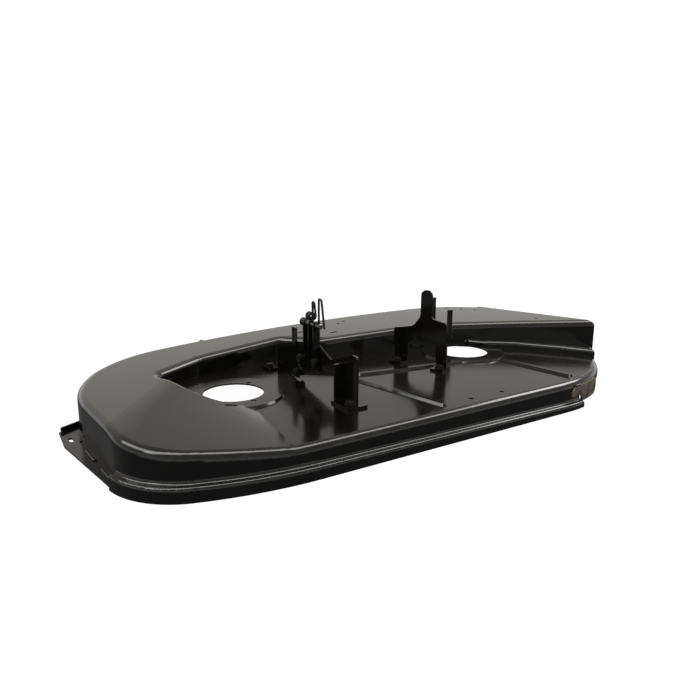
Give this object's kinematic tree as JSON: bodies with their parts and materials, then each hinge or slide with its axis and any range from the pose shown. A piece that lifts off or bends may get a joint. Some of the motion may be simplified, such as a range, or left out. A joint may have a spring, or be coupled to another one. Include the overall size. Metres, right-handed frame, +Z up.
{
  "type": "lawn mower deck",
  "caption": "Stamped steel cutting deck shell of a ride-on mower, with a volute tunnel to a side discharge, spindle openings and bolted hanger brackets.",
  "frame": {"origin": "on the ground, at the bottom centre of the part's box, near the midpoint of the two spindle openings", "axes": "+X along the straight rear edge towards the discharge, +Y forward, +Z up"},
  "size_m": [1.046, 0.551, 0.2057],
  "materials": {
    "black_paint": "semi-gloss black powder coat",
    "black_oxide": "blackened bolts and nuts",
    "bright_steel": "bright turned steel",
    "spring_wire": "blackened spring wire"
  },
  "bodies": {
    "root": {"channel_1_bolt": "black_oxide", "channel_1_nut": "black_oxide", "channel_2_bolt": "black_oxide", "channel_2_nut": "black_oxide", "chute_hinge_bracket": "black_paint", "deck_shell": "black_paint", "front_hanger_ear": "black_paint", "left_belt_keeper": "black_paint", "left_corner_plate": "black_paint", "left_foot_1_bolt": "black_oxide", "left_foot_1_nut": "black_oxide", "left_foot_2_bolt": "black_oxide", "left_foot_2_nut": "black_oxide", "left_foot_3_bolt": "black_oxide", "left_foot_3_nut": "black_oxide", "left_hanger_bracket": "black_paint", "left_hanger_channel": "black_paint", "left_keeper_bolt": "black_oxide", "left_keeper_nut": "black_oxide", "lift_pin": "bright_steel", "retainer_clip_inner": "spring_wire", "retainer_clip_outer": "spring_wire", "right_belt_keeper": "black_paint", "right_foot_1_bolt": "black_oxide", "right_foot_1_nut": "black_oxide", "right_foot_2_bolt": "black_oxide", "right_foot_2_nut": "black_oxide", "right_hanger_bracket": "black_paint"}
  },
  "joints": []
}
